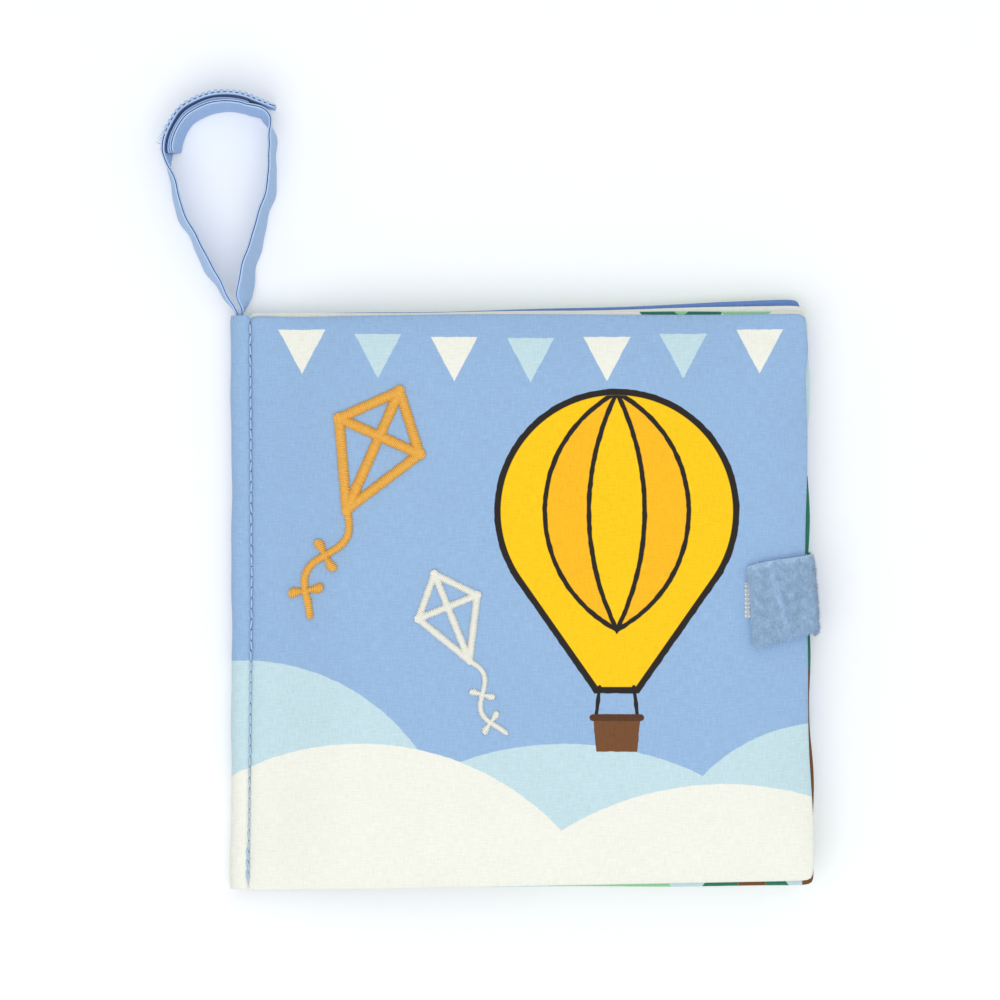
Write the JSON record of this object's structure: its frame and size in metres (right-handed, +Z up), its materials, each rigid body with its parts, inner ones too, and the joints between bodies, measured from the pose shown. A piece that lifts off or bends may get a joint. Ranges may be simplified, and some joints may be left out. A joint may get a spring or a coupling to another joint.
{
  "type": "cloth book",
  "caption": "Padded square cloth book with padded leaves, a hinged front cover, a plush closing tab at the fore edge and a strap loop at the spine's head.",
  "frame": {"origin": "centre of the back cover's underside, on the surface that the closed book lies on", "axes": "+X from the spine to the fore edge, +Y from the tail to the head, +Z up through the closed book"},
  "size_m": [0.1932, 0.2331, 0.0237],
  "materials": {
    "cover_cloth": "printed plain-weave cotton, light blue",
    "lining_cloth": "printed plain-weave cotton, pale aqua",
    "wadding": "lofty polyester wadding",
    "page_cloth": "printed plain-weave cotton, cream",
    "strap_cotton": "folded blue cotton",
    "hook_tape": "blue hook tape",
    "loop_tape": "blue brushed loop tape",
    "tab_plush": "short blue plush",
    "print_aqua": "pale aqua ink in the cotton",
    "print_cream": "cream ink in the cotton",
    "print_yellow": "warm yellow ink in the cotton",
    "print_deep_yellow": "deeper yellow ink in the cotton",
    "print_dark": "soft black ink in the cotton",
    "print_brown": "brown ink in the cotton",
    "gold_thread": "lustrous gold embroidery thread",
    "cream_thread": "lustrous cream embroidery thread"
  },
  "bodies": {
    "book": {"back_cover_panel": "cover_cloth", "back_cover_wadding": "wadding", "back_cover_lining": "lining_cloth", "pages": "page_cloth", "spine_fold": "cover_cloth", "strap_left": "strap_cotton", "strap_right": "strap_cotton", "strap_hook_tape": "hook_tape", "strap_loop_tape": "loop_tape", "closing_tab": "tab_plush"},
    "front_cover": {"front_cover_panel": "cover_cloth", "front_cover_wadding": "wadding", "front_cover_lining": "lining_cloth", "hook_patch": "hook_tape", "print_far_hills": "print_aqua", "print_near_hills": "print_cream", "print_balloon": "print_yellow", "print_gores": "print_deep_yellow", "print_outline": "print_dark", "print_basket": "print_brown", "print_pennants": "print_aqua", "kite_gold": "gold_thread", "kite_cream": "cream_thread"}
  },
  "joints": [
    {"name": "front_cover_hinge", "type": "hinge", "parent": "book", "child": "front_cover", "pos_m": [-0.0795, 0, 0.0108], "axis": [0, -1, 0], "range_deg": [0, 180], "deforming": ["closing_tab"]}
  ]
}
